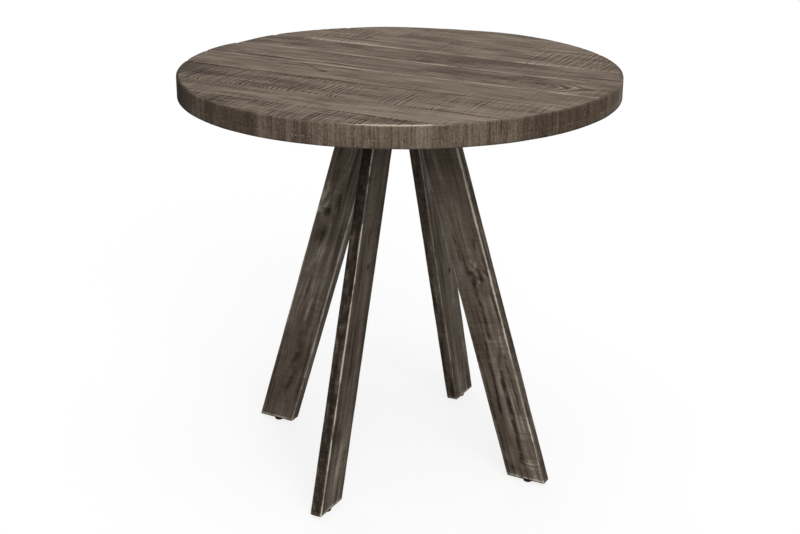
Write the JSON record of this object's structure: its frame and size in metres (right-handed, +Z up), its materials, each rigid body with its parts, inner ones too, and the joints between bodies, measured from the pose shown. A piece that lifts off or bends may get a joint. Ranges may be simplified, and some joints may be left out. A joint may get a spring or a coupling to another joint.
{
  "type": "dining table",
  "caption": "Round dining table: a boarded, rough-sawn wooden top on splayed plank legs that meet under its middle, with screw levelling feet.",
  "frame": {"origin": "on the floor below the middle of the round top", "axes": "+Z up; +X along the boards of the top, above the right leg; +Y towards the rear leg"},
  "size_m": [0.8, 0.8, 0.765],
  "materials": {
    "top_wood": "weathered grey-brown hardwood, rough-sawn, matt stain",
    "rim_wood": "the same stained hardwood, sawn across, matt",
    "leg_wood": "darker grey-brown stained hardwood with worn edges, satin",
    "underside_wood": "planed hardwood, thinly stained, matt",
    "black_steel": "black powder coat, fine texture",
    "zinc_steel": "zinc plated, dull",
    "stud_steel": "black oxide, oiled",
    "sole_plastic": "black moulded nylon"
  },
  "bodies": {
    "table": {"top_board_1": "top_wood", "top_board_2": "top_wood", "top_board_3": "top_wood", "top_board_4": "top_wood", "top_board_5": "top_wood", "top_board_6": "top_wood", "top_board_7": "top_wood", "top_board_8": "top_wood", "rim_segment_1": "rim_wood", "rim_segment_2": "rim_wood", "rim_segment_3": "rim_wood", "rim_segment_4": "rim_wood", "rim_segment_5": "rim_wood", "rim_segment_6": "rim_wood", "rim_segment_7": "rim_wood", "rim_segment_8": "rim_wood", "centre_pad": "underside_wood", "batten_left": "underside_wood", "batten_right": "underside_wood", "mounting_plate": "black_steel", "leg_shoe_right": "black_steel", "leg_shoe_rear": "black_steel", "leg_shoe_left": "black_steel", "leg_shoe_front": "black_steel", "leg_right": "leg_wood", "leg_rear": "leg_wood", "leg_left": "leg_wood", "leg_front": "leg_wood", "foot_insert_right": "zinc_steel", "foot_insert_rear": "zinc_steel", "foot_insert_left": "zinc_steel", "foot_insert_front": "zinc_steel", "plate_screws": "zinc_steel", "batten_screws": "zinc_steel", "leg_bolts": "zinc_steel", "leg_washers": "zinc_steel", "leg_nuts": "zinc_steel"},
    "sole_right": {"foot_sole_right": "sole_plastic"},
    "stud_right": {"foot_stud_right": "stud_steel"},
    "sole_rear": {"foot_sole_rear": "sole_plastic"},
    "stud_rear": {"foot_stud_rear": "stud_steel"},
    "sole_left": {"foot_sole_left": "sole_plastic"},
    "stud_left": {"foot_stud_left": "stud_steel"},
    "sole_front": {"foot_sole_front": "sole_plastic"},
    "stud_front": {"foot_stud_front": "stud_steel"}
  },
  "joints": [
    {"name": "foot_travel_right", "type": "slide", "parent": "table", "child": "sole_right", "axis": [0, 0, -1], "range_m": [0, 0.01]},
    {"name": "stud_turn_right", "type": "hinge", "parent": "sole_right", "child": "stud_right", "pos_m": [0.27919, 0, 0.006], "axis": [0, 0, -1], "range_deg": [0, 2880]},
    {"name": "foot_travel_rear", "type": "slide", "parent": "table", "child": "sole_rear", "axis": [0, 0, -1], "range_m": [0, 0.01]},
    {"name": "stud_turn_rear", "type": "hinge", "parent": "sole_rear", "child": "stud_rear", "pos_m": [0, 0.27919, 0.006], "axis": [0, 0, -1], "range_deg": [0, 2880]},
    {"name": "foot_travel_left", "type": "slide", "parent": "table", "child": "sole_left", "axis": [0, 0, -1], "range_m": [0, 0.01]},
    {"name": "stud_turn_left", "type": "hinge", "parent": "sole_left", "child": "stud_left", "pos_m": [-0.27919, 0, 0.006], "axis": [0, 0, -1], "range_deg": [0, 2880]},
    {"name": "foot_travel_front", "type": "slide", "parent": "table", "child": "sole_front", "axis": [0, 0, -1], "range_m": [0, 0.01]},
    {"name": "stud_turn_front", "type": "hinge", "parent": "sole_front", "child": "stud_front", "pos_m": [0, -0.27919, 0.006], "axis": [0, 0, -1], "range_deg": [0, 2880]}
  ],
  "couplings": [
    {"joint": "foot_travel_right", "follows": "stud_turn_right", "m_per_rad": 0.00019894},
    {"joint": "foot_travel_rear", "follows": "stud_turn_rear", "m_per_rad": 0.00019894},
    {"joint": "foot_travel_left", "follows": "stud_turn_left", "m_per_rad": 0.00019894},
    {"joint": "foot_travel_front", "follows": "stud_turn_front", "m_per_rad": 0.00019894}
  ]
}
